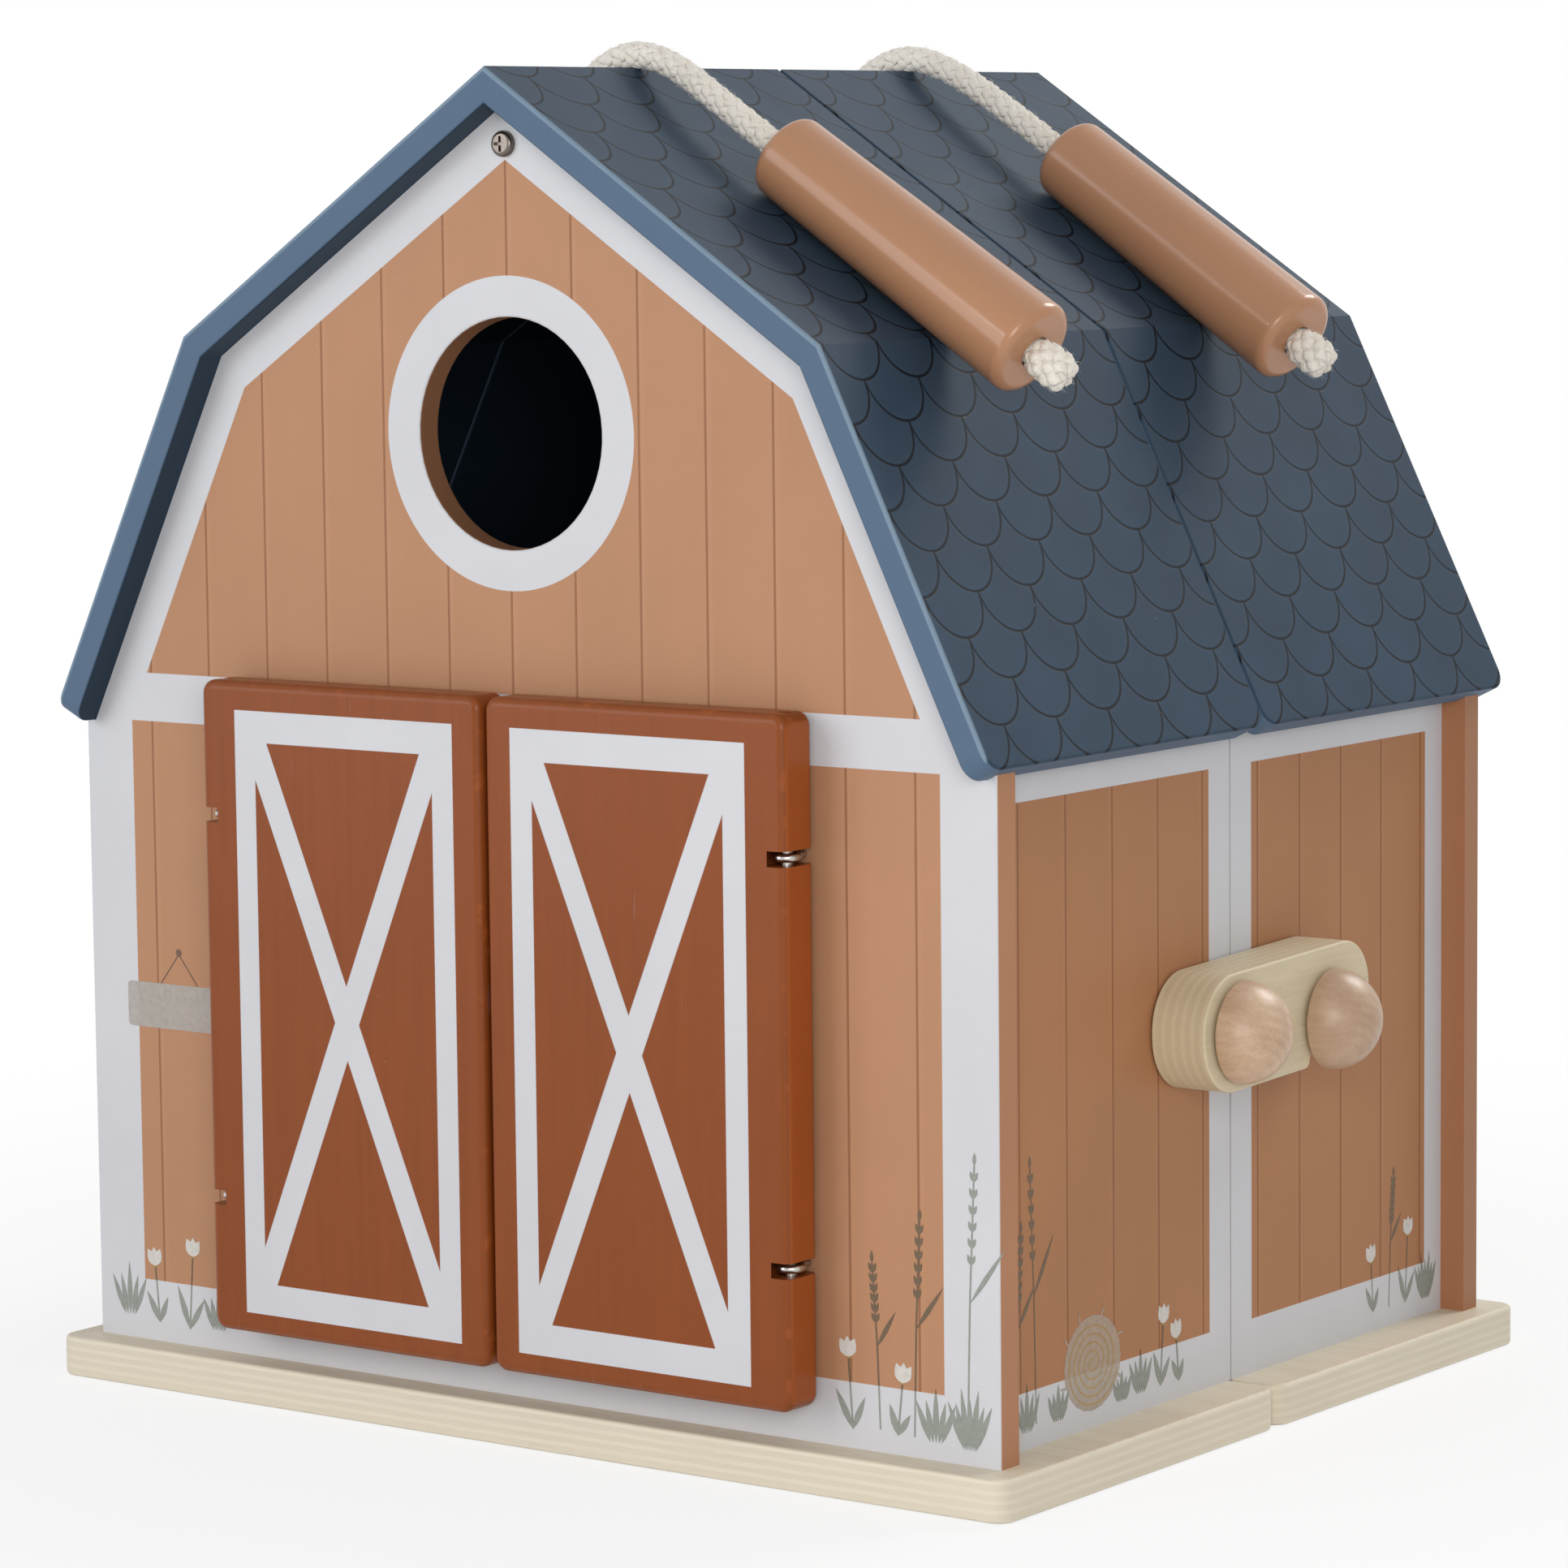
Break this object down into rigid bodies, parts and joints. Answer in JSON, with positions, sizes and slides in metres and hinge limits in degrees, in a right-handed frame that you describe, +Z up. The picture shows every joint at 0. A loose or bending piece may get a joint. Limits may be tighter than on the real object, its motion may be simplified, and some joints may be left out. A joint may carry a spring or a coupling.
{
  "type": "toy barn with opening doors",
  "caption": "Wooden toy barn play case: its halves swing apart on a side hinge, with hinged double doors, a round window, a slotted side latch and rope handles with wooden grips.",
  "frame": {"origin": "on the underside of the base, at the middle of the closed barn, on the seam between its halves", "axes": "+X to the right as the doors are seen, -Y out of the doors, +Z up"},
  "size_m": [0.318, 0.2488, 0.348],
  "materials": {
    "base_plywood": "clear-lacquered birch plywood, layers showing at the edges",
    "wall_paint": "satin terracotta-tan paint with printed planks and white trims",
    "roof_paint": "satin slate-blue paint with printed scallop shingles",
    "door_paint": "satin red-brown paint with a printed white frame and cross",
    "latch_plywood": "sanded birch plywood, clear lacquer",
    "knob_beech": "turned beech, clear lacquer",
    "grip_paint": "turned wood, semi-gloss tan paint",
    "inner_wood": "sanded bare wood",
    "rope_cotton": "braided cotton, undyed",
    "screw_steel": "nickel-plated steel, polished",
    "hinge_steel": "zinc-plated steel"
  },
  "bodies": {
    "front_half": {"base_front": "base_plywood", "base_screws_front": "hinge_steel", "gable_front": "wall_paint", "gable_screw_front": "screw_steel", "side_wall_left_front": "wall_paint", "side_wall_right_front": "wall_paint", "roof_upper_left_front": "roof_paint", "roof_upper_right_front": "roof_paint", "roof_lower_left_front": "roof_paint", "roof_lower_right_front": "roof_paint", "ridge_beam_front": "inner_wood", "hinge_batten_front": "wall_paint", "hinge_leaves_front": "hinge_steel", "hinge_leaf_screws_front": "hinge_steel", "knob_front": "knob_beech", "knob_screw_front": "screw_steel", "rope_front": "rope_cotton", "rope_knot_front": "rope_cotton", "hinge_pins": "hinge_steel", "screw_eyes_left": "screw_steel", "screw_eyes_right": "screw_steel"},
    "rear_half": {"base_rear": "base_plywood", "base_screws_rear": "hinge_steel", "gable_rear": "wall_paint", "gable_screw_rear": "screw_steel", "side_wall_left_rear": "wall_paint", "side_wall_right_rear": "wall_paint", "roof_upper_left_rear": "roof_paint", "roof_upper_right_rear": "roof_paint", "roof_lower_left_rear": "roof_paint", "roof_lower_right_rear": "roof_paint", "ridge_beam_rear": "inner_wood", "hinge_batten_rear": "wall_paint", "hinge_leaves_rear": "hinge_steel", "hinge_leaf_screws_rear": "hinge_steel", "knob_rear": "knob_beech", "knob_screw_rear": "screw_steel", "rope_rear": "rope_cotton", "rope_knot_rear": "rope_cotton"},
    "door_left": {"door_left": "door_paint", "door_rod_left": "screw_steel"},
    "door_right": {"door_right": "door_paint", "door_rod_right": "screw_steel"},
    "latch_arm": {"latch_arm": "latch_plywood"},
    "grip_front": {"grip_front": "grip_paint", "rope_end_front": "rope_cotton"},
    "grip_rear": {"grip_rear": "grip_paint", "rope_end_rear": "rope_cotton"}
  },
  "joints": [
    {"name": "case_hinge", "type": "hinge", "parent": "front_half", "child": "rear_half", "pos_m": [-0.15075, 0, 0], "axis": [0, 0, 1], "range_deg": [0, 175]},
    {"name": "door_left_hinge", "type": "hinge", "parent": "front_half", "child": "door_left", "pos_m": [-0.0877, -0.1203, 0], "axis": [0, 0, 1], "range_deg": [-170, 0]},
    {"name": "door_right_hinge", "type": "hinge", "parent": "front_half", "child": "door_right", "pos_m": [0.0877, -0.1203, 0], "axis": [0, 0, 1], "range_deg": [0, 170]},
    {"name": "latch_pivot", "type": "hinge", "parent": "front_half", "child": "latch_arm", "pos_m": [0.1442, -0.0215, 0.1029], "axis": [1, 0, 0], "range_deg": [0, 85]},
    {"name": "grip_front_swing", "type": "hinge", "parent": "front_half", "child": "grip_front", "pos_m": [0, -0.059, 0.341], "axis": [0, -1, 0], "range_deg": [0, 110], "deforming": ["rope_front"]},
    {"name": "grip_rear_swing", "type": "hinge", "parent": "rear_half", "child": "grip_rear", "pos_m": [0, 0.0597, 0.341], "axis": [0, -1, 0], "range_deg": [0, 110], "deforming": ["rope_rear"]}
  ]
}
